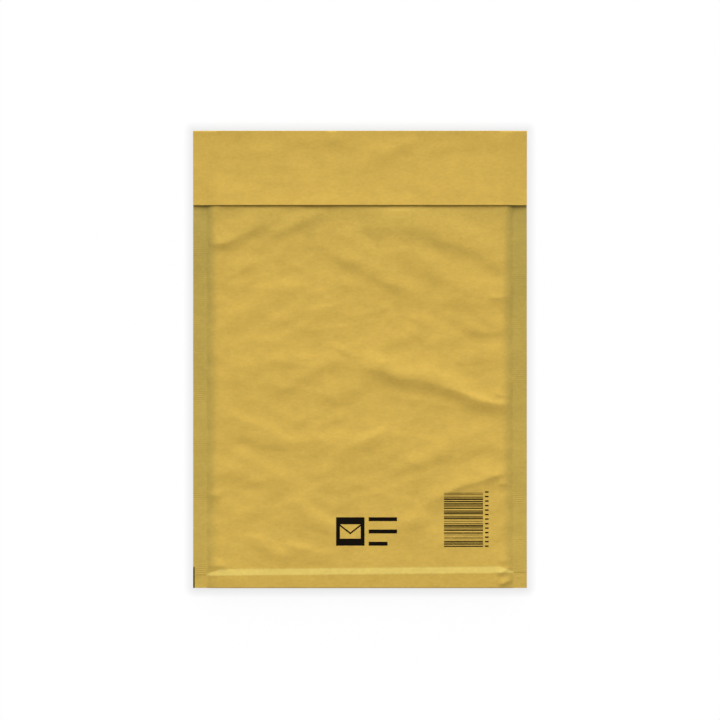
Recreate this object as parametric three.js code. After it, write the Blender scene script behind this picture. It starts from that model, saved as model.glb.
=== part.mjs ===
// Padded envelope: a kraft paper mailer with a bubble-film lining, lying on its back with the flap
// folded over its front. The lined paper is one folded web, pressed together along both sides, so the
// envelope is one solid: the section along its length (back wall, top fold, flap, front wall, bottom
// fold) is lofted across its width, and thins to a flat seam at each side.
// Millimetres. X runs across the width, Y from the bottom fold to the top fold, and Z up from the
// surface that the back wall lies on, with the origin under the middle.

import * as THREE from 'three';
import { LoftGeometry } from 'three/addons/geometries/LoftGeometry.js';

// Driving dimensions
const WIDTH = 200; // over both side seams
const LENGTH = 274; // bottom fold to top fold
const PAD_THICKNESS = 6; // both lined walls, lying together
const PAD_CROWN = 0.5; // rise of the front wall towards its middle
const SEAM_WIDTH = 8; // pressed flat along each side
const SEAM_THICKNESS = 0.8;
const SEAM_LEVEL = 3.6; // height of a seam's middle
const SHOULDER_RUN = 8.5; // rounded slope from a seam up to the full pad
const FOLD_ROUNDING = 3; // depth of the curve from the back wall up to a fold
const FOLD_CORNER = 0.6; // depth of a fold's tighter front corner
const FOLD_HEIGHT = 0.8; // of a fold's outermost line, as a share of the thickness there
const ROLL_DEPTH = 8.8; // roll of lining along the bottom fold, at its middle
const ROLL_SKEW = 1.6; // by which the roll is deeper at its right end than at its left
const ROLL_RISE = 1.4; // of the roll above the pad
const ROLL_TILT = 0.4; // fall of the roll's top towards the bottom fold
const ROLL_RUN = 3.8; // hollow slope from the roll down to the pad
const FLAP_DEPTH = 44.5; // top fold to the flap's free edge
const FLAP_THICKNESS = 0.3;
const FLAP_CLEARANCE = 0.3; // between the flap and the front wall
const FLAP_SPRING = 0.15; // extra lift of the free edge
const FLAP_ARCH = 1; // extra lift at the top fold
const FLAP_DROOP = 1.5; // sag of the flap's side ends, past the pad
const CREASE_FADE = 6; // run over which creases flatten out towards the flap's edge and the roll

// Creases of the front wall. Each crest runs through points given as shares of the front wall: across
// from -1 at the left edge to 1 at the right, and up from 0 at the bottom fold to 1 at the flap's edge.
// Rise is the crest's height, and above and below are the widths of its slopes, in millimetres.
const CREASES = [
  { through: [[-0.95, 0.9], [-0.79, 0.907], [-0.65, 0.936], [-0.52, 0.97]], rise: 1.1, above: 9, below: 4 },
  { through: [[-0.6, 0.922], [-0.45, 0.945], [-0.25, 0.985]], rise: 0.8, above: 5, below: 4 },
  { through: [[-0.2, 0.876], [0, 0.838], [0.2, 0.786], [0.3, 0.774]], rise: 0.6, above: 9, below: 6 },
  { through: [[0.03, 0.915], [0.33, 0.94], [0.55, 0.907], [0.78, 0.852]], rise: 0.7, above: 9, below: 7 },
  { through: [[0.22, 0.868], [0.42, 0.831], [0.62, 0.792], [0.84, 0.757]], rise: 0.8, above: 8, below: 7 },
  { through: [[-0.82, 0.645], [-0.7, 0.645], [-0.5, 0.695], [-0.3, 0.735]], rise: 0.7, above: 5, below: 5 },
  { through: [[-0.85, 0.583], [-0.5, 0.592], [-0.1, 0.602]], rise: 0.5, above: 7, below: 5 },
  {
    through: [[-0.1, 0.602], [0.2, 0.56], [0.4, 0.548], [0.6, 0.505], [0.88, 0.475]],
    rise: 1.4,
    above: 8,
    below: 5,
  },
  { through: [[-0.22, 0.497], [0, 0.53], [0.12, 0.566]], rise: 0.7, above: 6, below: 5 },
  { through: [[-0.36, 0.543], [-0.2, 0.585], [-0.1, 0.59]], rise: 0.5, above: 5, below: 5 },
  { through: [[-0.82, 0.462], [-0.6, 0.418], [-0.3, 0.358]], rise: 0.9, above: 5, below: 7 },
  { through: [[-0.82, 0.4], [-0.62, 0.385], [-0.5, 0.372]], rise: 0.6, above: 5, below: 5 },
  { through: [[-0.27, 0.298], [-0.05, 0.352], [0.14, 0.39]], rise: 0.8, above: 7, below: 5 },
  { through: [[0.02, 0.285], [0.25, 0.322], [0.42, 0.345], [0.7, 0.41]], rise: 0.9, above: 7, below: 5 },
  { through: [[0.4, 0.225], [0.58, 0.262], [0.75, 0.287], [0.88, 0.302]], rise: 1.2, above: 7, below: 4 },
  { through: [[-0.84, 0.32], [-0.66, 0.288], [-0.58, 0.272]], rise: 0.5, above: 5, below: 5 },
  { through: [[-0.68, 0.318], [-0.5, 0.294], [-0.38, 0.28]], rise: 0.5, above: 5, below: 5 },
  { through: [[-0.45, 0.233], [-0.26, 0.188], [-0.08, 0.15]], rise: 0.7, above: 5, below: 5 },
  { through: [[-0.68, 0.133], [-0.54, 0.102], [-0.4, 0.08]], rise: 0.6, above: 5, below: 5 },
  { through: [[0.62, 0.676], [0.75, 0.673], [0.88, 0.675]], rise: 0.5, above: 5, below: 4 },
];
const CREST_STEPS = 16; // stretches that a crest is sampled in

// Facets
const PAD_STATIONS = 32; // sections across the pad
const SHOULDER_STATIONS = 5; // sections up each shoulder
const BACK_ROWS = 8;
const FOLD_ROWS = 4; // on each of a fold's two curves
const FLAP_ROWS = 7;
const COVERED_ROWS = 4; // of the front wall, under the flap
const FRONT_ROWS = 72;
const SLOPE_ROWS = 4;

const KRAFT_COLOUR = 0xcfad51;
const KRAFT_ROUGHNESS = 0.75;

// Places that follow from the dimensions
const sideEdge = WIDTH / 2;
const endEdge = LENGTH / 2;
const seamEdge = sideEdge - SEAM_WIDTH;
const padEdge = seamEdge - SHOULDER_RUN;
const flapEdge = endEdge - FLAP_DEPTH;
const backFold = endEdge - FOLD_ROUNDING;
const frontFold = endEdge - FOLD_CORNER;
const pocketEnd = frontFold - FLAP_THICKNESS;

const { clamp, lerp, smoothstep } = THREE.MathUtils;

// How full the pad is at a place across the width: 0 on a seam, 1 past its shoulder.
function fullness(x) {
  const climb = clamp((seamEdge - Math.abs(x)) / SHOULDER_RUN, 0, 1);
  return 1 - (1 - climb) ** 2;
}

// The crests as points on the front wall.
function crestPoints({ through }) {
  const frontLength = flapEdge + endEdge;
  const places = through.map(
    ([across, up]) => new THREE.Vector2(across * sideEdge, up * frontLength - endEdge),
  );
  return new THREE.SplineCurve(places).getPoints(CREST_STEPS);
}
const crests = CREASES.map((crease) => ({ ...crease, points: crestPoints(crease) }));

// Height that one crease adds at a point: highest on its crest, with its own slope on either side,
// and running out at both ends.
function creaseHeight({ points, rise, above, below }, place) {
  let nearest = Infinity;
  let height = 0;
  for (let step = 0; step < CREST_STEPS; step += 1) {
    const run = points[step + 1].clone().sub(points[step]);
    const offset = place.clone().sub(points[step]);
    const share = clamp(offset.dot(run) / run.lengthSq(), 0, 1);
    const distance = offset.clone().addScaledVector(run, -share).length();
    if (distance < nearest) {
      nearest = distance;
      const along = (2 * (step + share)) / CREST_STEPS - 1;
      const width = run.cross(offset) > 0 ? above : below;
      height = rise * (1 - along ** 4) * Math.exp(-((distance / width) ** 2));
    }
  }
  return height;
}

// Inner edge of the roll along the bottom fold, and the foot of the slope down from it.
function rollEdge(x) {
  return -endEdge + ROLL_DEPTH + (ROLL_SKEW * x) / WIDTH;
}

function padStart(x) {
  return rollEdge(x) + ROLL_RUN;
}

function creasesAt(x, y) {
  const place = new THREE.Vector2(x, y);
  const flapFade = smoothstep(flapEdge - y, 0, CREASE_FADE);
  const rollFade = smoothstep(y - padStart(x), 0, CREASE_FADE);
  return flapFade * rollFade * crests.reduce((sum, crest) => sum + creaseHeight(crest, place), 0);
}

function rollAt(x, y) {
  const slope = clamp((padStart(x) - y) / ROLL_RUN, 0, 1);
  const tilt = clamp((rollEdge(x) - y) / ROLL_DEPTH, 0, 1);
  return ROLL_RISE * slope ** 2 - ROLL_TILT * tilt;
}

// The gentle crown of the front, highest in the middle, which the flap follows.
function crownAt(x, y) {
  return PAD_CROWN * (1 - (x / sideEdge) ** 2) * (1 - (y / endEdge) ** 2);
}

function backLevel(x) {
  return lerp(SEAM_LEVEL - SEAM_THICKNESS / 2, 0, fullness(x));
}

function frontLevel(x, y) {
  const pad = PAD_THICKNESS + crownAt(x, y) + rollAt(x, y) + creasesAt(x, y);
  return lerp(SEAM_LEVEL + SEAM_THICKNESS / 2, pad, fullness(x));
}

// The flap's underside, which lies close to the front wall, lifts at its fold and a little at its free
// edge, and sags past the pad.
function flapLevel(x, y) {
  const out = (endEdge - y) / FLAP_DEPTH;
  const lift = FLAP_ARCH * (1 - out) ** 3 + FLAP_SPRING * out ** 4;
  const droop = FLAP_DROOP * smoothstep(Math.abs(x), padEdge, sideEdge);
  return PAD_THICKNESS + crownAt(x, y) + FLAP_CLEARANCE + lift - droop;
}

// Evenly spaced numbers from one end to the other, with the last left out.
function spread(start, end, count) {
  return Array.from({ length: count }, (_, i) => lerp(start, end, i / count));
}

// A fold from the back wall up to the front, with both ends left out: a slow curve up to its outermost
// line, then a tight corner. The outward direction is 1 for the top fold and -1 for the bottom fold.
function fold(x, outward, back, front) {
  const outermost = lerp(back, front, FOLD_HEIGHT);
  const quarter = spread(0, Math.PI / 2, FOLD_ROWS);
  const curve = quarter.slice(1).map((angle) => [
    backFold + FOLD_ROUNDING * Math.sin(angle),
    lerp(outermost, back, Math.cos(angle)),
  ]);
  const corner = quarter.map((angle) => [
    frontFold + FOLD_CORNER * Math.cos(angle),
    lerp(outermost, front, Math.sin(angle)),
  ]);
  return [...curve, ...corner].map(([y, z]) => new THREE.Vector3(x, outward * y, z));
}

// One closed section of the folded web, anticlockwise with Y to the right and Z up.
function section(x) {
  const point = (level) => (y) => new THREE.Vector3(x, y, level(x, y));
  const back = point(backLevel);
  const front = point(frontLevel);
  const flapUnder = point(flapLevel);
  const flapTop = point((px, y) => flapLevel(px, y) + FLAP_THICKNESS);
  return [
    ...spread(-backFold, backFold, BACK_ROWS).map(back),
    back(backFold),
    ...fold(x, 1, backLevel(x), flapTop(frontFold).z),
    ...spread(frontFold, flapEdge, FLAP_ROWS).map(flapTop),
    flapTop(flapEdge),
    ...spread(flapEdge, pocketEnd, FLAP_ROWS).map(flapUnder),
    flapUnder(pocketEnd),
    ...spread(pocketEnd, flapEdge, COVERED_ROWS).map(front),
    ...spread(flapEdge, padStart(x), FRONT_ROWS).map(front),
    ...spread(padStart(x), rollEdge(x), SLOPE_ROWS).map(front),
    front(rollEdge(x)),
    front(-frontFold),
    ...fold(x, -1, backLevel(x), frontLevel(x, -frontFold)).reverse(),
  ];
}

// Places of the sections across the width: the seams, the shoulders and the pad.
function stations() {
  const side = [sideEdge, ...spread(seamEdge, padEdge, SHOULDER_STATIONS)];
  const pad = [...spread(-padEdge, padEdge, PAD_STATIONS), padEdge];
  return [...side.map((x) => -x), ...pad, ...side.reverse()];
}

function paddedEnvelope() {
  const geometry = new LoftGeometry(stations().map(section), { capStart: true, capEnd: true });
  const kraft = new THREE.MeshStandardMaterial({
    color: KRAFT_COLOUR,
    roughness: KRAFT_ROUGHNESS,
    metalness: 0,
  });
  const mesh = new THREE.Mesh(geometry, kraft);
  mesh.name = 'padded_envelope';
  return mesh;
}

const envelope = new THREE.Group();
envelope.add(paddedEnvelope());

export default envelope;
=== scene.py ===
"""The looks of a padded kraft envelope: creased walls, crimped side seams, generic print, floor and light."""
import math
from typing import NamedTuple

import bpy
import numpy as np
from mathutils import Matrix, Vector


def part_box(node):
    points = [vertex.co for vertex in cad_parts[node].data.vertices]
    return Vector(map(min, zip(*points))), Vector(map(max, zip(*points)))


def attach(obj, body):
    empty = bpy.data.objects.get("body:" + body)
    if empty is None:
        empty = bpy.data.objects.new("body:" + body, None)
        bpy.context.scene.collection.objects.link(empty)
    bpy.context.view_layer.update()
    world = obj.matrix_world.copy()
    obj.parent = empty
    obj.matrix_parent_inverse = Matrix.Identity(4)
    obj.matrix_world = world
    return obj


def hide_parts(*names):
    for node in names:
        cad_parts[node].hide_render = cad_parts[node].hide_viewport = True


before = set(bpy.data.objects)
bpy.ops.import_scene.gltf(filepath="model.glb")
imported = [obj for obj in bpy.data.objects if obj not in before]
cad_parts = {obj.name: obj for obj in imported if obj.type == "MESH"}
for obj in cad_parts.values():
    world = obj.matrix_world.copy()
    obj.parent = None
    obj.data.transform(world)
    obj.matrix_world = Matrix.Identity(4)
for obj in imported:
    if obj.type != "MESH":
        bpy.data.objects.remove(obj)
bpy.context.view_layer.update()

MM = 0.001
NODE = "padded_envelope"
BODY = "root"

# Sizes of the folded web. The outline is the solid's. The roll, the folds and the flap are fitted closer to
# the photo than the solid's, by a millimetre or less in height.
_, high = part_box(NODE)
SIDE_EDGE = high.x
END_EDGE = high.y
PAD_THICKNESS = 6 * MM
PAD_CROWN = 0.5 * MM
BULGE_RISE = 0.5 * MM
BULGE_RUN = 45 * MM
SEAM_WIDTH = 8 * MM
SEAM_LEVEL = 3.6 * MM
SHOULDER_RUN = 8.5 * MM
FOLD_ROUNDING = 3 * MM
FOLD_CORNER = 0.25 * MM
FOLD_HEIGHT = 0.8
ROLL_DEPTH = 8.5 * MM
ROLL_SKEW = 1.9 * MM
ROLL_RISE = 0.75 * MM
ROLL_TILT = 0.4 * MM
ROLL_RUN = 3.5 * MM
FLAP_DEPTH = 44.5 * MM
FLAP_THICKNESS = 0.3 * MM
FLAP_CLEARANCE = 0.3 * MM
FLAP_SPRING = 0.4 * MM
FLAP_ARCH = 1 * MM
FLAP_DROOP = 2.5 * MM
FLAP_DROOP_EASE = 0.4
FLAP_DROOP_START = -1 * MM
FLAP_DROOP_END = 5 * MM
CREASE_FADE = 4 * MM

SEAM_EDGE = SIDE_EDGE - SEAM_WIDTH
PAD_EDGE = SEAM_EDGE - SHOULDER_RUN
FLAP_EDGE = END_EDGE - FLAP_DEPTH
BACK_FOLD = END_EDGE - FOLD_ROUNDING
FRONT_FOLD = END_EDGE - FOLD_CORNER
POCKET_END = FRONT_FOLD - FLAP_THICKNESS
FRONT_LENGTH = FLAP_EDGE + END_EDGE

# Seams: pressed paper with fine ribs across it, over a thin core of the walls
SEAM_CORE = 0.3 * MM
SEAM_WAVE = 0.25 * MM
SEAM_WAVE_PITCH = 61 * MM
SEAM_WAVE_START_LEFT, SEAM_WAVE_START_RIGHT = 0.4, 1.9
SEAM_STEP = 0.12 * MM
SEAM_STEP_RUN = 0.5 * MM
CRIMP_THICKNESS = 0.6 * MM
CRIMP_PITCH = 1.25 * MM
CRIMP_DEPTH = 0.035 * MM
CRIMP_TUCK = 1 * MM
CRIMP_FIRMNESS = 0.6
CRIMP_FIRMNESS_CHANGE = 0.4

# Puckers: short pleats where a wall runs into a seam
PUCKER_WAVES = (12 * MM, 40 * MM)
PUCKER_SHIFT = 0.15 * MM
PUCKER_RISE = 0.05 * MM
PUCKER_REACH = 5 * MM

# How narrow the slope of the roll is where it runs out on a shoulder, as a share of its run
ROLL_TIP = 0.15


class Crease(NamedTuple):
    """A crest through points of the front wall, given as shares: across from -1 to 1, and up from 0 at the
    bottom fold to 1 at the flap's edge. Its rise and the widths of the slopes above and below it are in
    millimetres. A low power makes a sharp crest, and 2 a round one."""

    through: list
    rise: float
    above: float
    below: float
    power: float = 2


CREASES = [
    # Under the flap
    Crease([(-0.94, 0.899), (-0.84, 0.904), (-0.76, 0.911), (-0.7, 0.923), (-0.6, 0.948), (-0.42, 0.984)],
           rise=0.85, above=8, below=4),
    Crease([(-0.94, 0.9), (-0.86, 0.902), (-0.78, 0.908), (-0.68, 0.926)],
           rise=0.35, above=4, below=2, power=1.3),
    Crease([(-0.56, 0.925), (-0.46, 0.941), (-0.36, 0.959), (-0.2, 0.99)], rise=0.65, above=4.5, below=4.2),
    Crease([(-0.28, 0.902), (-0.14, 0.88), (0, 0.844), (0.1, 0.82), (0.19, 0.8), (0.3, 0.777), (0.42, 0.757)],
           rise=0.95, above=12, below=6),
    Crease([(0.03, 0.925), (0.15, 0.945), (0.3, 0.943), (0.42, 0.936), (0.54, 0.912), (0.67, 0.883),
            (0.79, 0.857), (0.92, 0.835)], rise=1.4, above=11, below=6.5),
    Crease([(0.1, 0.895), (0.23, 0.873), (0.4, 0.837), (0.57, 0.8), (0.69, 0.775), (0.82, 0.759),
            (0.94, 0.752)], rise=1, above=12, below=7),
    Crease([(-0.68, 0.765), (-0.58, 0.775), (-0.47, 0.784), (-0.38, 0.784), (-0.28, 0.777)],
           rise=0.5, above=4.5, below=6),
    Crease([(-0.82, 0.82), (-0.7, 0.838), (-0.58, 0.85)], rise=0.25, above=5, below=5),
    Crease([(-0.82, 0.775), (-0.72, 0.787), (-0.6, 0.8)], rise=0.2, above=4, below=4),
    Crease([(0.45, 0.775), (0.57, 0.755), (0.68, 0.732), (0.78, 0.706), (0.9, 0.68)],
           rise=0.6, above=7, below=5.5),
    Crease([(0.78, 0.757), (0.82, 0.76), (0.88, 0.762)], rise=0.3, above=2.5, below=2, power=1.5),
    # Middle
    Crease([(-0.02, 0.582), (0.15, 0.572), (0.35, 0.553), (0.6, 0.52), (0.95, 0.49)],
           rise=0.4, above=16, below=8),
    Crease([(-0.95, 0.53), (-0.75, 0.53), (-0.5, 0.54), (-0.3, 0.56)], rise=0.45, above=18, below=18),
    Crease([(-0.88, 0.7), (-0.78, 0.715), (-0.68, 0.738), (-0.56, 0.752)], rise=0.3, above=5, below=4.5),
    Crease([(-0.85, 0.675), (-0.7, 0.7), (-0.58, 0.727), (-0.48, 0.75), (-0.36, 0.775)],
           rise=0.42, above=7, below=4.5),
    Crease([(-0.82, 0.635), (-0.68, 0.645), (-0.58, 0.672), (-0.48, 0.699), (-0.38, 0.721), (-0.25, 0.738)],
           rise=0.45, above=5, below=6),
    Crease([(-0.65, 0.633), (-0.5, 0.643), (-0.4, 0.668), (-0.3, 0.695), (-0.2, 0.719), (-0.1, 0.738)],
           rise=0.4, above=4.5, below=4.5),
    Crease([(-0.88, 0.581), (-0.7, 0.585), (-0.5, 0.59), (-0.33, 0.594), (-0.22, 0.6)],
           rise=0.42, above=5.5, below=7),
    Crease([(-0.26, 0.604), (-0.12, 0.608), (0, 0.602), (0.12, 0.588), (0.25, 0.57)],
           rise=0.55, above=5.5, below=13),
    Crease([(0, 0.59), (0.1, 0.572), (0.2, 0.556), (0.32, 0.549), (0.42, 0.541), (0.52, 0.526),
            (0.64, 0.505)], rise=1.15, above=7, below=5.2),
    Crease([(0.48, 0.533), (0.6, 0.511), (0.7, 0.494), (0.8, 0.484), (0.88, 0.485), (0.95, 0.493)],
           rise=1.1, above=3, below=4.6, power=1.6),
    Crease([(-0.6, 0.55), (-0.52, 0.537), (-0.44, 0.527), (-0.36, 0.542), (-0.28, 0.562), (-0.18, 0.586),
            (-0.08, 0.594)], rise=0.36, above=5, below=5),
    Crease([(-0.27, 0.483), (-0.16, 0.498), (-0.07, 0.513), (0.02, 0.534), (0.14, 0.56)],
           rise=0.42, above=7, below=5.5),
    Crease([(-0.86, 0.545), (-0.74, 0.543), (-0.62, 0.54)], rise=0.25, above=4, below=4),
    Crease([(0.12, 0.625), (0.22, 0.648), (0.33, 0.662), (0.46, 0.666)], rise=0.3, above=6, below=5),
    Crease([(0.37, 0.632), (0.45, 0.64), (0.53, 0.649)], rise=0.22, above=4, below=3),
    Crease([(0.6, 0.681), (0.7, 0.672), (0.78, 0.67), (0.88, 0.673)], rise=0.5, above=5, below=3.6),
    Crease([(0.56, 0.607), (0.66, 0.614), (0.76, 0.617), (0.86, 0.621)], rise=0.5, above=5, below=9),
    Crease([(0.8, 0.507), (0.86, 0.504), (0.93, 0.499)], rise=0.5, above=3, below=2, power=1.5),
    # Lower half
    Crease([(-0.85, 0.466), (-0.75, 0.448), (-0.65, 0.43), (-0.55, 0.408), (-0.45, 0.385), (-0.33, 0.37)],
           rise=0.65, above=4.4, below=9),
    Crease([(-0.86, 0.397), (-0.74, 0.396), (-0.62, 0.383), (-0.5, 0.378), (-0.36, 0.365)],
           rise=0.3, above=5, below=4),
    Crease([(-0.42, 0.425), (-0.31, 0.45), (-0.2, 0.464)], rise=0.2, above=3, below=3),
    Crease([(-0.32, 0.415), (-0.22, 0.432), (-0.1, 0.455)], rise=0.25, above=3.5, below=3.5),
    Crease([(-0.76, 0.347), (-0.65, 0.327), (-0.55, 0.305), (-0.48, 0.292), (-0.37, 0.288)],
           rise=0.55, above=5.5, below=9),
    Crease([(-0.85, 0.325), (-0.76, 0.301), (-0.67, 0.288), (-0.57, 0.262)], rise=0.45, above=4.5, below=5.5),
    Crease([(-0.36, 0.4), (-0.25, 0.382), (-0.12, 0.38), (0.02, 0.387), (0.15, 0.391), (0.32, 0.387)],
           rise=0.6, above=6.5, below=8),
    Crease([(-0.3, 0.293), (-0.2, 0.305), (-0.1, 0.337), (0, 0.365), (0.08, 0.38), (0.16, 0.388)],
           rise=0.5, above=7, below=5),
    Crease([(0.16, 0.306), (0.28, 0.322), (0.38, 0.338), (0.47, 0.358), (0.57, 0.381), (0.67, 0.397),
            (0.78, 0.412)], rise=0.85, above=5.5, below=5.5),
    Crease([(-0.06, 0.308), (0.06, 0.328), (0.16, 0.345), (0.28, 0.36)], rise=0.3, above=4.5, below=4.5),
    Crease([(0.48, 0.339), (0.56, 0.342), (0.64, 0.338)], rise=0.2, above=4, below=3),
    Crease([(0.6, 0.35), (0.7, 0.368), (0.82, 0.391)], rise=0.25, above=4, below=4),
    Crease([(0.23, 0.276), (0.33, 0.286), (0.44, 0.294)], rise=0.3, above=4, below=3.5),
    Crease([(0.38, 0.212), (0.46, 0.232), (0.54, 0.254), (0.64, 0.269), (0.75, 0.287), (0.82, 0.295),
            (0.92, 0.303)], rise=1, above=5.5, below=3.5, power=1.5),
    Crease([(0.82, 0.268), (0.88, 0.27), (0.94, 0.266)], rise=0.6, above=3, below=2.5, power=1.5),
    Crease([(-0.95, 0.246), (-0.88, 0.243), (-0.83, 0.243)], rise=0.6, above=4, below=2.5, power=1.5),
    Crease([(-0.46, 0.232), (-0.36, 0.208), (-0.27, 0.186), (-0.18, 0.167), (-0.06, 0.15)],
           rise=0.6, above=4.5, below=6),
    Crease([(-0.86, 0.205), (-0.72, 0.207), (-0.58, 0.199)], rise=0.35, above=5, below=6),
    Crease([(-0.7, 0.135), (-0.6, 0.113), (-0.5, 0.091), (-0.4, 0.08)], rise=0.4, above=4.2, below=5.5),
    Crease([(-0.45, 0.115), (-0.35, 0.1), (-0.27, 0.088), (-0.16, 0.084)], rise=0.28, above=4.5, below=6),
    Crease([(0.12, 0.143), (0.22, 0.16), (0.32, 0.172), (0.44, 0.175)], rise=0.5, above=6, below=5.5),
    Crease([(0.74, 0.206), (0.81, 0.208), (0.89, 0.216)], rise=0.25, above=3, below=3),
    Crease([(0.71, 0.11), (0.69, 0.09), (0.67, 0.06)], rise=0.12, above=1.5, below=1.5),
]
# Soft creases of the flap, which lies above 1 on the same scale
FLAP_CREASES = [
    Crease([(-0.02, 1.14), (0.1, 1.135), (0.24, 1.14)], rise=0.5, above=8, below=16),
    Crease([(-0.36, 1), (-0.24, 0.998), (-0.12, 1.012)], rise=0.35, above=7, below=7),
    Crease([(-0.35, 1.163), (-0.2, 1.168), (-0.08, 1.185)], rise=0.3, above=4, below=5),
    Crease([(0.08, 1.118), (0.18, 1.138), (0.25, 1.152), (0.35, 1.175)], rise=0.25, above=4, below=4),
    Crease([(0.38, 1.142), (0.48, 1.147), (0.57, 1.15)], rise=0.15, above=4, below=3),
    Crease([(0.76, 1.16), (0.87, 1.168), (0.97, 1.178)], rise=0.2, above=4, below=4),
    Crease([(-0.68, 1.14), (-0.55, 1.142), (-0.42, 1.137)], rise=0.2, above=4, below=4),
    Crease([(-0.56, 1.11), (-0.45, 1.103), (-0.3, 1.083)], rise=0.2, above=5, below=5),
    Crease([(0.28, 1.055), (0.5, 1.05), (0.72, 1.06)], rise=0.25, above=12, below=8),
]
# Creases at the corners of the roll, which run on to its slope
CORNER_CREASES = [
    Crease([(-0.94, 0.06), (-0.87, 0.059), (-0.79, 0.056)], rise=0.7, above=4, below=2.5, power=1.5),
    Crease([(0.83, 0.07), (0.88, 0.071), (0.95, 0.066)], rise=0.7, above=4, below=2.5, power=1.5),
    Crease([(0.82, 0.036), (0.87, 0.046), (0.94, 0.06)], rise=0.7, above=2.5, below=1.5, power=1.5),
    Crease([(0.83, 0.008), (0.89, 0.018), (0.96, 0.031)], rise=0.9, above=2.5, below=1.5, power=1.5),
]
CREST_STEPS = 20

# Creases wander off their lines, and their strength comes and goes
WANDER = 0.5 * MM
WANDER_WAVES = (16 * MM, 45 * MM)
STRENGTH_CHANGE = 0.06
STRENGTH_WAVES = (14 * MM, 40 * MM)

# Small ridges between the creases: zones of the front wall, as shares, with the ways that they run there
RIDGE_ZONES = [
    {"across": (-0.85, 0), "up": (0.74, 0.97), "headings": (12, 28, -20), "count": 22},
    {"across": (-0.1, 0.85), "up": (0.68, 0.97), "headings": (-28, -22, 20), "count": 36},
    {"across": (-0.85, -0.1), "up": (0.48, 0.78), "headings": (26, 18, -18), "count": 36},
    {"across": (-0.1, 0.85), "up": (0.46, 0.72), "headings": (-25, -18, 15), "count": 36},
    {"across": (-0.85, -0.2), "up": (0.08, 0.48), "headings": (-28, -20, 18), "count": 45},
    {"across": (-0.2, 0.85), "up": (0.08, 0.46), "headings": (26, 20, -15), "count": 49},
]
RIDGE_TURN = 9
RIDGE_HALF_LENGTH = (8 * MM, 22 * MM)
RIDGE_WIDTH = (1.8 * MM, 4 * MM)
RIDGE_RISE = (0.03 * MM, 0.125 * MM)
FLAP_RIDGES = 44
FLAP_RIDGE_RISE = (0.01 * MM, 0.05 * MM)
FLAP_HEADINGS = (0, 8, -8)
BACK_RIDGES = 60
BACK_DENT = (0.1 * MM, 0.3 * MM)
BACK_HEADINGS = (-30, 30, 10)

# Cockle: the unevenness of the paper itself, as ranges of wavelengths and mean heights
COCKLE = [
    {"waves": (25 * MM, 60 * MM), "height": 0.06 * MM},
    {"waves": (9 * MM, 20 * MM), "height": 0.017 * MM},
    {"waves": (4 * MM, 8 * MM), "height": 0.005 * MM},
]
WAVE_COUNT = 24

# Grid of the envelope's mesh
PAD_COLUMNS = 136
SHOULDER_COLUMNS = 14
FRONT_ROWS = 360
SLOPE_ROWS = 8
ROLL_ROWS = 14
FOLD_ROWS = 6
BACK_ROWS = 60
FLAP_ROWS = 44
UNDER_ROWS = 8
COVERED_ROWS = 8
CRIMP_STEPS = 4
CRIMP_COLUMNS = 5
SMOOTH_ANGLE = math.radians(40)

# Print, placed from the middle of the front
INK_ABOVE = 0.06 * MM
INK_BELOW = 0.05 * MM
INK_STEP = 1.2 * MM
BARS_LEFT, BARS_RIGHT = 50.3 * MM, 73.7 * MM
BARS_BOTTOM, BARS_TOP = -112.2 * MM, -79.4 * MM
BAR_MODULE = 0.33 * MM
BAR_MODULES = (1, 2)
GAP_MODULES = (1, 3)
TICK_LEFT, TICK_RIGHT = 74.9 * MM, 77 * MM
TICK_HEIGHT = 0.8 * MM
TICK_PITCH = 2.7 * MM
BADGE_LEFT, BADGE_RIGHT = -14.3 * MM, 2.7 * MM
BADGE_BOTTOM, BADGE_TOP = -111.5 * MM, -94.5 * MM
PICTURE_WIDTH, PICTURE_HEIGHT = 12.4 * MM, 8.6 * MM
PICTURE_LINE = 1.1 * MM
PICTURE_DIP = 4.9 * MM
RULE_LEFT = 5.2 * MM
RULE_RIGHTS = (22.2 * MM, 22.2 * MM, 16.5 * MM)
RULE_HEIGHT = 2.3 * MM
EDGE_MARK_WIDTH = 0.8 * MM
EDGE_MARK_LENGTH = 12.6 * MM

# Colours, as the paper and ink reflect light
KRAFT = (0.625, 0.413, 0.080)
# Pressed paper, darker and greener, with painted shade where the paper lies low and under the flap
KRAFT_PRESSED_AND_SHADE = (0.450, 0.330, 0.074)
KRAFT_PALE = (0.610, 0.455, 0.110)
INK = (0.006, 0.004, 0.002)

# Surface of the paper and the ink: how rough and shiny they are, and the paper's mottle and grain, which are
# noises stretched across the web
PAPER_ROUGHNESS, PAPER_SPECULAR = 0.85, 0.1
INK_ROUGHNESS, INK_SPECULAR = 0.8, 0.05
NOISE_STRETCH = (0.6, 1, 1)
NOISE_DETAIL, NOISE_ROUGHNESS = 3, 0.7
NOISE_LOW, NOISE_HIGH = 0.3, 0.7
MOTTLE_SCALE, GRAIN_SCALE = 130, 700
GRAIN_SHARE = 0.5
DARKEST, LIGHTEST = 0.89, 1.11
GRAIN_BUMP = 0.25
GRAIN_BUMP_HEIGHT = 0.2 * MM

# How much of the pressed-and-shaded colour shows, which is painted shade where the paper lies low and under
# the flap, and pressed paper on the seams: on a shoulder by how far down it lies, on the seams, under the
# flap
DEPTH_SHADE_FROM = 0.05
DEPTH_SHADE_FULLY = 0.9
SEAM_FADE = 0.5
SEAM_END_PRESSED_AND_SHADE = 0.4
FLAP_SHADE = 0.36
FLAP_SHADE_RUN = 60 * MM

# How far the paler colour of the roll's slope fades out past it
PALE_FADE = 0.6 * MM

SEED = 20
random = np.random.default_rng(SEED)


def smoothstep(value, start, end):
    share = np.clip((value - start) / (end - start), 0, 1)
    return share * share * (3 - 2 * share)


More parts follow.
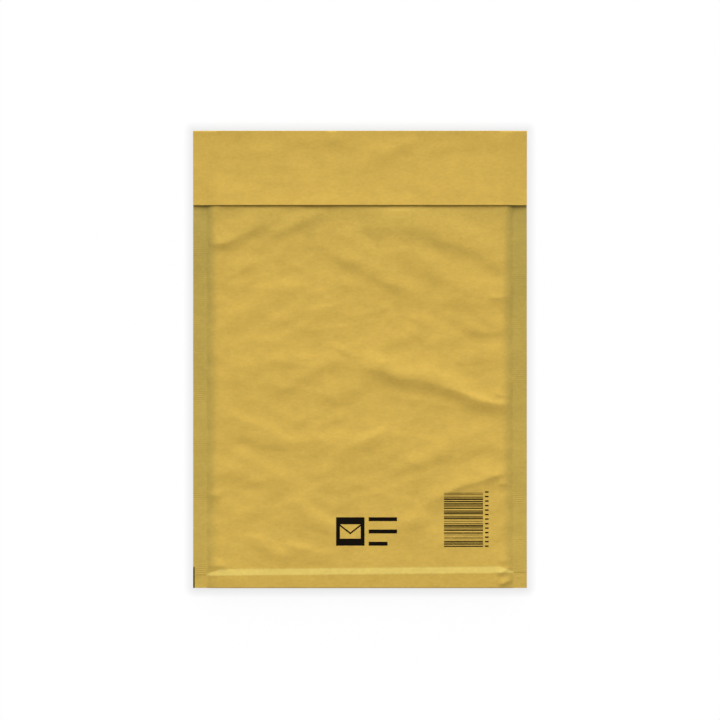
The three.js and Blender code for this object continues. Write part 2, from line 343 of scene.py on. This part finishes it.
class Waves:
    """Smooth uneven heights with a mean size of 1: plane waves that run every way."""

    def __init__(self, lengths):
        heading = random.uniform(0, 2 * math.pi, WAVE_COUNT)
        number = 2 * math.pi / random.uniform(*lengths, WAVE_COUNT)
        self.across, self.up = number * np.cos(heading), number * np.sin(heading)
        self.start = random.uniform(0, 2 * math.pi, WAVE_COUNT)

    def at(self, x, y):
        angles = x[..., None] * self.across + y[..., None] * self.up + self.start
        return np.sin(angles).sum(axis=-1) * math.sqrt(2 / WAVE_COUNT)


wander_x = Waves(WANDER_WAVES)
wander_y = Waves(WANDER_WAVES)
strength = Waves(STRENGTH_WAVES)
puckers = Waves(PUCKER_WAVES)
cockle_waves = [Waves(layer["waves"]) for layer in COCKLE]


def pucker_height(x, y):
    """Uneven along a seam, and the same from a seam's edge up to the pad."""
    return puckers.at(np.sign(x) * SEAM_EDGE, y)


def seam_level(x, y):
    start = np.where(x < 0, SEAM_WAVE_START_LEFT, SEAM_WAVE_START_RIGHT)
    return SEAM_LEVEL + SEAM_WAVE * np.sin(2 * math.pi * y / SEAM_WAVE_PITCH + start)


def climb(x, y):
    """How far up a shoulder a place lies: 0 on the seam and 1 on the pad."""
    edge = SEAM_EDGE + PUCKER_SHIFT * pucker_height(x, y)
    return np.clip((edge - np.abs(x)) / SHOULDER_RUN, 0, 1)


def fullness(x, y):
    """How full the pad is: 0 on a seam and 1 past its shoulder."""
    return 1 - (1 - climb(x, y)) ** 2


def seam_tone(x, y):
    """Pressed paper and painted shade on the seams: less of it towards the bottom, least beside the roll."""
    down = np.clip((FLAP_EDGE - y) / FRONT_LENGTH, 0, 1)
    folded = smoothstep(roll_edge(x) - y, -SEAM_STEP_RUN / 2, SEAM_STEP_RUN / 2)
    return (1 - SEAM_FADE * down) * (1 - folded) + SEAM_END_PRESSED_AND_SHADE * folded


def wall_tone(x, y):
    """Pressed-and-shaded colour on the walls: painted shade on the shoulders, and a little below the flap."""
    # Painted shade on a shoulder, darker the lower it lies
    shoulder = smoothstep(1 - climb(x, y), DEPTH_SHADE_FROM, DEPTH_SHADE_FULLY) * seam_tone(x, y)
    # Painted shade below the flap's edge
    under_flap = FLAP_SHADE * np.clip(1 - (FLAP_EDGE - y) / FLAP_SHADE_RUN, 0, 1) ** 2
    return np.maximum(shoulder, under_flap)


def roll_edge(x):
    return -END_EDGE + ROLL_DEPTH + ROLL_SKEW * x / (2 * SIDE_EDGE)


def pad_start(x):
    shoulder = np.clip((SEAM_EDGE - np.abs(x)) / SHOULDER_RUN, 0, 1)
    return roll_edge(x) + ROLL_RUN * (ROLL_TIP + (1 - ROLL_TIP) * shoulder)


def pale_tone(x, y):
    """How much of the paler colour shows: all of it on the slope of the roll."""
    edge, start = roll_edge(x), pad_start(x)
    return smoothstep(y, edge - PALE_FADE, edge) * (1 - smoothstep(y, start, start + PALE_FADE))


def no_tone(x, y):
    return np.zeros(x.shape)


def wall_point(share):
    across, up = share
    return np.array([across * SIDE_EDGE, up * FRONT_LENGTH - END_EDGE])


def crest_line(through):
    """Points along a smooth curve through the given shares of the wall."""
    points = np.array([wall_point(share) for share in through])
    before = 2 * points[0] - points[1]
    after = 2 * points[-1] - points[-2]
    knots = np.concatenate([[before], points, [after]])
    place = np.linspace(0, len(points) - 1, CREST_STEPS + 1)
    span = np.minimum(place.astype(int), len(points) - 2)
    t = (place - span)[:, None]
    a, b, c, d = (knots[span + i] for i in range(4))
    return b + 0.5 * t * (c - a + t * (2 * a - 5 * b + 4 * c - d + t * (3 * (b - c) + d - a)))


def crease_height(crease, x, y):
    """Highest on the crest, with its own slope on either side, and running out at both ends."""
    points = crest_line(crease.through)
    nearest = np.full(x.shape, np.inf)
    height = np.zeros(x.shape)
    for step in range(CREST_STEPS):
        run = points[step + 1] - points[step]
        dx, dy = x - points[step][0], y - points[step][1]
        share = np.clip((dx * run[0] + dy * run[1]) / (run @ run), 0, 1)
        distance = np.hypot(dx - share * run[0], dy - share * run[1])
        along = 2 * (step + share) / CREST_STEPS - 1
        width = np.where(run[0] * dy - run[1] * dx > 0, crease.above, crease.below) * MM
        here = (1 - along**4) * np.exp(-((distance / width) ** crease.power))
        height = np.where(distance < nearest, here, height)
        nearest = np.minimum(nearest, distance)
    return crease.rise * MM * height


def make_ridge(centre, headings, rise):
    return {
        "centre": centre,
        "heading": math.radians(random.choice(headings) + random.uniform(-RIDGE_TURN, RIDGE_TURN)),
        "half": random.uniform(*RIDGE_HALF_LENGTH),
        "width": random.uniform(*RIDGE_WIDTH),
        "rise": random.uniform(*rise),
    }


def front_ridges():
    ridges = []
    for zone in RIDGE_ZONES:
        for _ in range(zone["count"]):
            centre = wall_point((random.uniform(*zone["across"]), random.uniform(*zone["up"])))
            ridges.append(make_ridge(centre, zone["headings"], RIDGE_RISE))
    return ridges


def flap_ridges():
    ridges = []
    for _ in range(FLAP_RIDGES):
        centre = np.array([random.uniform(-SIDE_EDGE, SIDE_EDGE), random.uniform(FLAP_EDGE, END_EDGE)])
        ridges.append(make_ridge(centre, FLAP_HEADINGS, FLAP_RIDGE_RISE))
    return ridges


def back_ridges():
    ridges = []
    for _ in range(BACK_RIDGES):
        centre = random.uniform(-1, 1, 2) * (PAD_EDGE, BACK_FOLD)
        ridges.append(make_ridge(centre, BACK_HEADINGS, BACK_DENT))
    return ridges


FRONT_WRINKLES = front_ridges()
FLAP_WRINKLES = flap_ridges()
BACK_DENTS = back_ridges()


def ridge_height(ridges, x, y):
    height = np.zeros(x.shape)
    for ridge in ridges:
        dx, dy = x - ridge["centre"][0], y - ridge["centre"][1]
        along = dx * math.cos(ridge["heading"]) + dy * math.sin(ridge["heading"])
        across = dy * math.cos(ridge["heading"]) - dx * math.sin(ridge["heading"])
        height += ridge["rise"] * np.exp(-((along / ridge["half"]) ** 2) - (across / ridge["width"]) ** 2)
    return height


def cockle(x, y):
    return sum(layer["height"] * waves.at(x, y) for layer, waves in zip(COCKLE, cockle_waves))


def front_relief(x, y):
    near_flap = smoothstep(FLAP_EDGE - y, 0, CREASE_FADE)
    near_roll = smoothstep(y - pad_start(x), 0, CREASE_FADE)
    bent_x = x + WANDER * wander_x.at(x, y)
    bent_y = y + WANDER * wander_y.at(x, y)
    creases = sum(crease_height(crease, bent_x, bent_y) for crease in CREASES)
    creases *= 1 + STRENGTH_CHANGE * strength.at(x, y)
    pleats = PUCKER_RISE * pucker_height(x, y) * np.exp(-(((PAD_EDGE - np.abs(x)) / PUCKER_REACH) ** 2))
    corners = sum(crease_height(crease, x, y) for crease in CORNER_CREASES)
    wall = near_roll * (creases + ridge_height(FRONT_WRINKLES, bent_x, bent_y) + pleats) + corners
    return near_flap * (wall + cockle(x, y))


def bulge(y):
    """A low swelling along the flap's edge, which runs out at the top fold and down the front wall."""
    run = np.where(y > FLAP_EDGE, FLAP_DEPTH, BULGE_RUN)
    return BULGE_RISE * np.clip(1 - np.abs(y - FLAP_EDGE) / run, 0, 1) ** 2


def crown(x, y):
    return PAD_CROWN * (1 - (x / SIDE_EDGE) ** 2) * (1 - (y / END_EDGE) ** 2) + bulge(y)


def roll_height(x, y):
    edge, start = roll_edge(x), pad_start(x)
    slope = np.clip((start - y) / (start - edge), 0, 1)
    tilt = np.clip((edge - y) / ROLL_DEPTH, 0, 1)
    return ROLL_RISE * slope - ROLL_TILT * tilt


def back_level(x, y):
    full = fullness(x, y)
    return (seam_level(x, y) - SEAM_CORE / 2) * (1 - full) + full * ridge_height(BACK_DENTS, x, y)


def front_level(x, y):
    pad = PAD_THICKNESS + crown(x, y) + roll_height(x, y) + front_relief(x, y)
    full = fullness(x, y)
    return (seam_level(x, y) + SEAM_CORE / 2) * (1 - full) + pad * full


def flap_under(x, y):
    out = (END_EDGE - y) / FLAP_DEPTH
    lift = FLAP_ARCH * (1 - out) ** 3 + FLAP_SPRING * out**4
    past_pad = smoothstep(np.abs(x), PAD_EDGE + FLAP_DROOP_START, SIDE_EDGE - FLAP_DROOP_END)
    droop = FLAP_DROOP * (1 - FLAP_DROOP_EASE * (1 - out**2)) * past_pad
    creases = sum(crease_height(crease, x, y) for crease in FLAP_CREASES)
    relief = creases + ridge_height(FLAP_WRINKLES, x, y) + cockle(x, y)
    return PAD_THICKNESS + crown(x, y) + FLAP_CLEARANCE + lift - droop + relief


def flap_top(x, y):
    return flap_under(x, y) + FLAP_THICKNESS


def spread(start, end, count):
    """Evenly spaced numbers, with the last left out."""
    return np.linspace(start, end, count + 1)[:-1]


def grid(columns, rows, level):
    """Points of one stretch of the folded web, as rows by columns by 3."""
    y = rows if rows.ndim == 2 else np.repeat(rows[:, None], len(columns), axis=1)
    x = np.broadcast_to(columns, y.shape)
    return np.stack([x, y, level(x, y)], axis=-1)


def fold(columns, outward, back, front):
    """A fold from the back wall up to the front, without its two ends: a slow curve up to its outermost
    line, then a tight corner. Outward is 1 at the top and -1 at the bottom."""
    outermost = back + FOLD_HEIGHT * (front - back)
    quarter = spread(0, math.pi / 2, FOLD_ROWS)
    rows = []
    for angle in quarter[1:]:
        y = BACK_FOLD + FOLD_ROUNDING * math.sin(angle)
        rows.append((y, outermost + (back - outermost) * math.cos(angle)))
    for angle in quarter:
        y = FRONT_FOLD + FOLD_CORNER * math.cos(angle)
        rows.append((y, outermost + (front - outermost) * math.sin(angle)))
    return np.array([np.stack([columns, np.full(len(columns), outward * y), z], axis=-1) for y, z in rows])


def web_columns():
    shoulder = np.linspace(PAD_EDGE, SEAM_EDGE + 2 * PUCKER_SHIFT, SHOULDER_COLUMNS)[1:]
    side = [*shoulder, (SEAM_EDGE + SIDE_EDGE) / 2, SIDE_EDGE]
    pad = np.linspace(-PAD_EDGE, PAD_EDGE, PAD_COLUMNS + 1)
    return np.concatenate([-np.array(side[::-1]), pad, side])


def web_grid():
    """The closed section of the folded web at each column, anticlockwise with Y to the right and Z up, and
    how much of the pressed-and-shaded and the paler colours shows at each point."""
    columns = web_columns()
    back = grid(columns, np.linspace(-BACK_FOLD, BACK_FOLD, BACK_ROWS + 1), back_level)
    top = grid(columns, np.linspace(FRONT_FOLD, FLAP_EDGE, FLAP_ROWS + 1), flap_top)
    under = grid(columns, np.linspace(FLAP_EDGE, POCKET_END, UNDER_ROWS + 1), flap_under)
    covered = grid(columns, spread(POCKET_END, FLAP_EDGE, COVERED_ROWS), front_level)
    front = grid(columns, spread(FLAP_EDGE, pad_start(columns), FRONT_ROWS), front_level)
    slope = grid(columns, spread(pad_start(columns), roll_edge(columns), SLOPE_ROWS), front_level)
    roll = grid(columns, np.linspace(roll_edge(columns), -FRONT_FOLD, ROLL_ROWS + 1), front_level)
    top_fold = fold(columns, 1, back[-1, :, 2], top[0, :, 2])
    bottom_fold = fold(columns, -1, back[0, :, 2], roll[-1, :, 2])[::-1]
    stretches = [
        (back, wall_tone, no_tone),
        (top_fold, no_tone, no_tone),
        (top, no_tone, no_tone),
        (under, no_tone, no_tone),
        (covered, wall_tone, no_tone),
        (front, wall_tone, pale_tone),
        (slope, wall_tone, pale_tone),
        (roll, wall_tone, pale_tone),
        (bottom_fold, wall_tone, no_tone),
    ]
    points = np.concatenate([stretch for stretch, _, _ in stretches])
    pressed = np.concatenate([tone(part[..., 0], part[..., 1]) for part, tone, _ in stretches])
    worn = np.concatenate([tone(part[..., 0], part[..., 1]) for part, _, tone in stretches])
    return points, {"pressed": pressed, "worn": worn}


def crimp_grid(side):
    """A ribbed seam: a ring round its section at each step along it, the outer edge on the given side, and
    how much of the pressed-and-shaded and the paler colours shows at each point."""
    steps = round((POCKET_END + END_EDGE) / CRIMP_PITCH) * CRIMP_STEPS
    along = np.linspace(-END_EDGE, POCKET_END, steps + 1)
    outwards = side * np.linspace(SEAM_EDGE - CRIMP_TUCK, SIDE_EDGE, CRIMP_COLUMNS)
    around = np.concatenate([outwards, outwards[::-1]])
    face = np.repeat([-0.5, 0.5], CRIMP_COLUMNS) * CRIMP_THICKNESS
    x, y = np.meshgrid(around, along, indexing="ij")
    firmness = CRIMP_FIRMNESS + CRIMP_FIRMNESS_CHANGE * strength.at(x, y)
    rib = CRIMP_DEPTH * firmness * np.cos(2 * math.pi * y / CRIMP_PITCH)
    folded = smoothstep(roll_edge(x) - y, -SEAM_STEP_RUN / 2, SEAM_STEP_RUN / 2)
    z = seam_level(x, y) + face[:, None] + rib - SEAM_STEP * folded
    points = np.stack([x, y, z], axis=-1)
    # Pressed paper, with painted shade for the seam lying lower than the pad
    pressed = seam_tone(x, y)
    if side > 0:
        points, pressed = points[::-1], pressed[::-1]
    return points, {"pressed": pressed, "worn": no_tone(x, y)}


def loft(points):
    """Faces of a closed mesh from rings: points is ring places by columns by 3, and each column is a ring."""
    rings, columns = points.shape[:2]
    index = np.arange(rings * columns).reshape(rings, columns)
    following = np.roll(index, -1, axis=0)
    quads = np.stack([index[:, :-1], following[:, :-1], following[:, 1:], index[:, 1:]], axis=-1)
    return [*quads.reshape(-1, 4).tolist(), index[::-1, 0].tolist(), index[:, -1].tolist()]


def add_piece(name, grids, material):
    """One object made of a closed mesh from each grid."""
    corners, faces = [], []
    for points in grids:
        faces.extend([[corner + len(corners) for corner in face] for face in loft(points)])
        corners.extend(points.reshape(-1, 3).tolist())
    mesh = bpy.data.meshes.new(name)
    mesh.from_pydata(corners, [], faces)
    mesh.shade_smooth()
    mesh.set_sharp_from_angle(angle=SMOOTH_ANGLE)
    mesh.materials.append(material)
    piece = bpy.data.objects.new(name, mesh)
    bpy.context.scene.collection.objects.link(piece)
    return piece


def add_paper(name, points, tones, material):
    """A piece of paper, with the share of each other colour that shows at its points."""
    piece = add_piece(name, [points], material)
    for tone, shares in tones.items():
        layer = piece.data.attributes.new(tone, "FLOAT", "POINT")
        layer.data.foreach_set("value", shares.ravel())
    return piece


def ink_plate(corners, level):
    """A thin closed plate that follows a level, over a four-cornered outline given anticlockwise from its
    lower left corner."""
    lower_left, lower_right, upper_right, upper_left = (np.array(corner) for corner in corners)
    across = max(1, round(np.linalg.norm(lower_right - lower_left) / INK_STEP))
    up = max(1, round(np.linalg.norm(upper_left - lower_left) / INK_STEP))
    t, s = np.meshgrid(np.linspace(0, 1, up + 1), np.linspace(0, 1, across + 1), indexing="ij")
    s, t = s[..., None], t[..., None]
    places = (1 - t) * ((1 - s) * lower_left + s * lower_right) + t * ((1 - s) * upper_left + s * upper_right)
    z = level(places[..., 0], places[..., 1])[..., None]
    under = np.concatenate([places, z - INK_BELOW], axis=-1)
    over = np.concatenate([places, z + INK_ABOVE], axis=-1)
    return np.concatenate([under, over[::-1]])


def box(left, bottom, right, top):
    return [(left, bottom), (right, bottom), (right, top), (left, top)]


def badge_outlines():
    """A dark badge with a plain envelope left bare in it, and rules of differing length beside it."""
    middle = (BADGE_LEFT + BADGE_RIGHT) / 2
    left, right = middle - PICTURE_WIDTH / 2, middle + PICTURE_WIDTH / 2
    centre = (BADGE_BOTTOM + BADGE_TOP) / 2
    bottom, top = centre - PICTURE_HEIGHT / 2, centre + PICTURE_HEIGHT / 2
    tip = top - PICTURE_DIP
    outlines = [
        box(BADGE_LEFT, BADGE_BOTTOM, left, BADGE_TOP),
        box(right, BADGE_BOTTOM, BADGE_RIGHT, BADGE_TOP),
        box(left, BADGE_BOTTOM, right, bottom),
        box(left, top, right, BADGE_TOP),
        [(left, top - PICTURE_LINE), (middle, tip - PICTURE_LINE), (middle, tip), (left, top)],
        [(middle, tip - PICTURE_LINE), (right, top - PICTURE_LINE), (right, top), (middle, tip)],
    ]
    rule_tops = np.linspace(BADGE_TOP, BADGE_BOTTOM + RULE_HEIGHT, len(RULE_RIGHTS))
    for rule_right, rule_top in zip(RULE_RIGHTS, rule_tops):
        outlines.append(box(RULE_LEFT, rule_top - RULE_HEIGHT, rule_right, rule_top))
    return outlines


def bar_outlines():
    """Bars and gaps of chance widths, and a column of short ticks beside them."""
    outlines = []
    bottom = BARS_BOTTOM
    while bottom < BARS_TOP:
        top = min(bottom + BAR_MODULE * random.integers(*BAR_MODULES, endpoint=True), BARS_TOP)
        outlines.append(box(BARS_LEFT, bottom, BARS_RIGHT, top))
        bottom = top + BAR_MODULE * random.integers(*GAP_MODULES, endpoint=True)
    for tick in np.arange(BARS_BOTTOM, BARS_TOP, TICK_PITCH):
        outlines.append(box(TICK_LEFT, tick, TICK_RIGHT, tick + TICK_HEIGHT))
    return outlines


def seam_top(x, y):
    return seam_level(x, y) + CRIMP_THICKNESS / 2 + CRIMP_DEPTH


class Nodes:
    """Short names for building one material's node tree."""

    def __init__(self, name):
        self.material = bpy.data.materials.new(name)
        self.material.use_nodes = True
        self.tree = self.material.node_tree
        self.shader = self.tree.nodes["Principled BSDF"]

    def add(self, kind, **values):
        node = self.tree.nodes.new(kind)
        for key, value in values.items():
            if key in node.inputs:
                node.inputs[key].default_value = value
            else:
                setattr(node, key, value)
        return node

    def link(self, out, into):
        self.tree.links.new(out, into)


def kraft_paper():
    nodes = Nodes("kraft_paper")
    place = nodes.add("ShaderNodeTexCoord").outputs["Object"]
    stretched = nodes.add("ShaderNodeMapping", Scale=NOISE_STRETCH)
    nodes.link(place, stretched.inputs["Vector"])
    noise_values = {"Detail": NOISE_DETAIL, "Roughness": NOISE_ROUGHNESS}
    mottle = nodes.add("ShaderNodeTexNoise", Scale=MOTTLE_SCALE, **noise_values)
    grain = nodes.add("ShaderNodeTexNoise", Scale=GRAIN_SCALE, **noise_values)
    for noise in (mottle, grain):
        nodes.link(stretched.outputs["Vector"], noise.inputs["Vector"])
    both = nodes.add("ShaderNodeMix", data_type="FLOAT", Factor=GRAIN_SHARE)
    nodes.link(mottle.outputs["Fac"], both.inputs["A"])
    nodes.link(grain.outputs["Fac"], both.inputs["B"])
    shade = nodes.add("ShaderNodeMapRange")
    shade.inputs["From Min"].default_value = NOISE_LOW
    shade.inputs["From Max"].default_value = NOISE_HIGH
    shade.inputs["To Min"].default_value = DARKEST
    shade.inputs["To Max"].default_value = LIGHTEST
    nodes.link(both.outputs["Result"], shade.inputs["Value"])
    # Pressed paper and painted shade, mixed in by their attribute
    pressed = nodes.add("ShaderNodeMix", data_type="RGBA")
    pressed.inputs["A"].default_value = (*KRAFT, 1)
    pressed.inputs["B"].default_value = (*KRAFT_PRESSED_AND_SHADE, 1)
    colour = nodes.add("ShaderNodeMix", data_type="RGBA")
    nodes.link(pressed.outputs["Result"], colour.inputs["A"])
    colour.inputs["B"].default_value = (*KRAFT_PALE, 1)
    for tone, mix in (("pressed", pressed), ("worn", colour)):
        share = nodes.add("ShaderNodeAttribute", attribute_name=tone)
        nodes.link(share.outputs["Fac"], mix.inputs["Factor"])
    shaded = nodes.add("ShaderNodeVectorMath", operation="SCALE")
    nodes.link(colour.outputs["Result"], shaded.inputs[0])
    nodes.link(shade.outputs["Result"], shaded.inputs["Scale"])
    nodes.link(shaded.outputs["Vector"], nodes.shader.inputs["Base Color"])
    bump = nodes.add("ShaderNodeBump", Strength=GRAIN_BUMP, Distance=GRAIN_BUMP_HEIGHT)
    nodes.link(grain.outputs["Fac"], bump.inputs["Height"])
    nodes.link(bump.outputs["Normal"], nodes.shader.inputs["Normal"])
    nodes.shader.inputs["Roughness"].default_value = PAPER_ROUGHNESS
    nodes.shader.inputs["Specular IOR Level"].default_value = PAPER_SPECULAR
    return nodes.material


def print_ink():
    nodes = Nodes("print_ink")
    nodes.shader.inputs["Base Color"].default_value = (*INK, 1)
    nodes.shader.inputs["Roughness"].default_value = INK_ROUGHNESS
    nodes.shader.inputs["Specular IOR Level"].default_value = INK_SPECULAR
    return nodes.material


def add_envelope():
    paper = kraft_paper()
    web = add_paper("envelope_web", *web_grid(), paper)
    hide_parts(NODE)
    pieces = [web]
    for name, side in (("seam_left", -1), ("seam_right", 1)):
        pieces.append(add_paper(name, *crimp_grid(side), paper))
    for piece in pieces:
        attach(piece, BODY)


def add_print():
    ink = print_ink()
    edge_mark = box(-SIDE_EDGE, -END_EDGE, -SIDE_EDGE + EDGE_MARK_WIDTH, -END_EDGE + EDGE_MARK_LENGTH)
    prints = [
        ("print_badge", badge_outlines(), front_level),
        ("print_bars", bar_outlines(), front_level),
        ("print_edge_mark", [edge_mark], seam_top),
    ]
    for name, outlines, level in prints:
        piece = add_piece(name, [ink_plate(outline, level) for outline in outlines], ink)
        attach(piece, BODY)


# Floor: white to the camera, with the object's own shadow and a soft painted shade round its outline
FLOOR_LEVEL = -0.3 * MM
FLOOR_SIZE = 8
FLOOR_DIFFUSE = 0.06
# How bright the floor's glow is at the outline: a painted shade that fades out over its reach
FLOOR_EDGE = 0.84
FLOOR_SHADE_REACH = 6 * MM


def add_floor():
    bpy.ops.mesh.primitive_plane_add(size=FLOOR_SIZE, location=(0, 0, FLOOR_LEVEL))
    floor = bpy.context.object
    floor.name = "floor"
    nodes = Nodes("floor_white")
    nodes.shader.inputs["Base Color"].default_value = (FLOOR_DIFFUSE, FLOOR_DIFFUSE, FLOOR_DIFFUSE, 1)
    nodes.shader.inputs["Roughness"].default_value = 1
    nodes.shader.inputs["Specular IOR Level"].default_value = 0
    nodes.shader.inputs["Emission Color"].default_value = (1, 1, 1, 1)
    rays = nodes.add("ShaderNodeLightPath")
    seen = nodes.add("ShaderNodeMath", operation="MAXIMUM")
    nodes.link(rays.outputs["Is Camera Ray"], seen.inputs[0])
    nodes.link(rays.outputs["Is Glossy Ray"], seen.inputs[1])
    shown = nodes.add("ShaderNodeMath", operation="MAXIMUM")
    nodes.link(seen.outputs[0], shown.inputs[0])
    nodes.link(rays.outputs["Is Transmission Ray"], shown.inputs[1])
    away = nodes.add("ShaderNodeVectorMath", operation="ABSOLUTE")
    nodes.link(nodes.add("ShaderNodeTexCoord").outputs["Object"], away.inputs[0])
    past = nodes.add("ShaderNodeVectorMath", operation="SUBTRACT")
    past.inputs[1].default_value = (SIDE_EDGE, END_EDGE, 0)
    nodes.link(away.outputs["Vector"], past.inputs[0])
    outside = nodes.add("ShaderNodeVectorMath", operation="MAXIMUM")
    outside.inputs[1].default_value = (0, 0, 0)
    nodes.link(past.outputs["Vector"], outside.inputs[0])
    distance = nodes.add("ShaderNodeVectorMath", operation="LENGTH")
    nodes.link(outside.outputs["Vector"], distance.inputs[0])
    # Painted shade: the floor's glow dims towards the object's outline
    light = nodes.add("ShaderNodeMapRange")
    light.inputs["From Max"].default_value = FLOOR_SHADE_REACH
    light.inputs["To Min"].default_value = FLOOR_EDGE - FLOOR_DIFFUSE
    light.inputs["To Max"].default_value = 1 - FLOOR_DIFFUSE
    nodes.link(distance.outputs["Value"], light.inputs["Value"])
    glow = nodes.add("ShaderNodeMath", operation="MULTIPLY")
    nodes.link(shown.outputs[0], glow.inputs[0])
    nodes.link(light.outputs["Result"], glow.inputs[1])
    nodes.link(glow.outputs[0], nodes.shader.inputs["Emission Strength"])
    floor.data.materials.append(nodes.material)


# Light: a soft sun from beyond the flap, and an even white sky that gives the rest
KEY_ELEVATION = math.radians(30)
KEY_SHARE = 0.65
KEY_SOFTNESS = math.radians(55)


def add_light():
    key = bpy.data.lights.new("key", "SUN")
    key.energy = KEY_SHARE * math.pi / math.sin(KEY_ELEVATION)
    key.angle = KEY_SOFTNESS
    lamp = bpy.data.objects.new("key", key)
    lamp.rotation_euler = (KEY_ELEVATION - math.pi / 2, 0, 0)
    bpy.context.scene.collection.objects.link(lamp)
    world = bpy.data.worlds.new("studio")
    world.use_nodes = True
    background = world.node_tree.nodes["Background"]
    background.inputs["Color"].default_value = (1, 1, 1, 1)
    rays = world.node_tree.nodes.new("ShaderNodeLightPath")
    level = world.node_tree.nodes.new("ShaderNodeMapRange")
    level.inputs["To Min"].default_value = 1 - KEY_SHARE
    level.inputs["To Max"].default_value = 1
    world.node_tree.links.new(rays.outputs["Is Camera Ray"], level.inputs["Value"])
    world.node_tree.links.new(level.outputs["Result"], background.inputs["Strength"])
    bpy.context.scene.world = world


# Camera: straight above, with the width that it sees at the level of the seams
VIEW_WIDTH = 431.7 * MM
SENSOR_WIDTH = 36
CAMERA_DISTANCE = 2.4
CAMERA_SHIFT_Y = -0.33 * MM


def add_camera():
    data = bpy.data.cameras.new("camera")
    data.sensor_width = SENSOR_WIDTH
    data.lens = SENSOR_WIDTH * CAMERA_DISTANCE / VIEW_WIDTH
    camera = bpy.data.objects.new("camera", data)
    camera.location = (0, CAMERA_SHIFT_Y, SEAM_LEVEL + CAMERA_DISTANCE)
    bpy.context.scene.collection.objects.link(camera)
    bpy.context.scene.camera = camera


add_camera()
add_light()
add_floor()
add_envelope()
add_print()
bpy.context.scene.view_settings.view_transform = "Standard"
